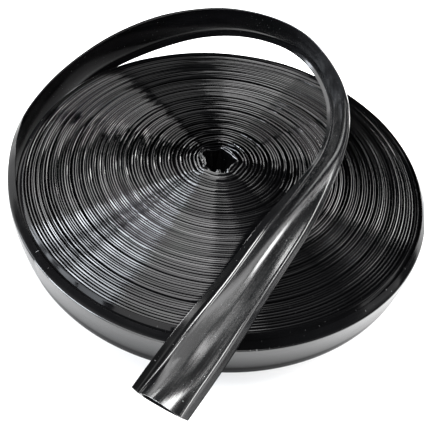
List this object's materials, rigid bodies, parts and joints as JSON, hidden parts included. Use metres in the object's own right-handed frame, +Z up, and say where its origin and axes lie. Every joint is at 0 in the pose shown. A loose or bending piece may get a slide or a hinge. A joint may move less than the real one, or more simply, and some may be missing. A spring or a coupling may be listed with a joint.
{
  "type": "soaker hose",
  "caption": "Flat black soaker hose with folded edge fins, wound on edge into a roll that lies on its side, its free end looped back over the roll to a plain cut.",
  "frame": {"origin": "on the roll's axis, at the surface that the roll lies on", "axes": "+Z up along the roll's axis; the free end passes over the rim towards -Y"},
  "size_m": [0.268, 0.3012, 0.0781],
  "materials": {
    "black_polyethylene": "smooth extruded gloss, faint lengthwise drawing lines"
  },
  "bodies": {
    "root": {"wound_turns": "black_polyethylene", "last_turn": "black_polyethylene", "free_stretch": "black_polyethylene"}
  },
  "joints": []
}
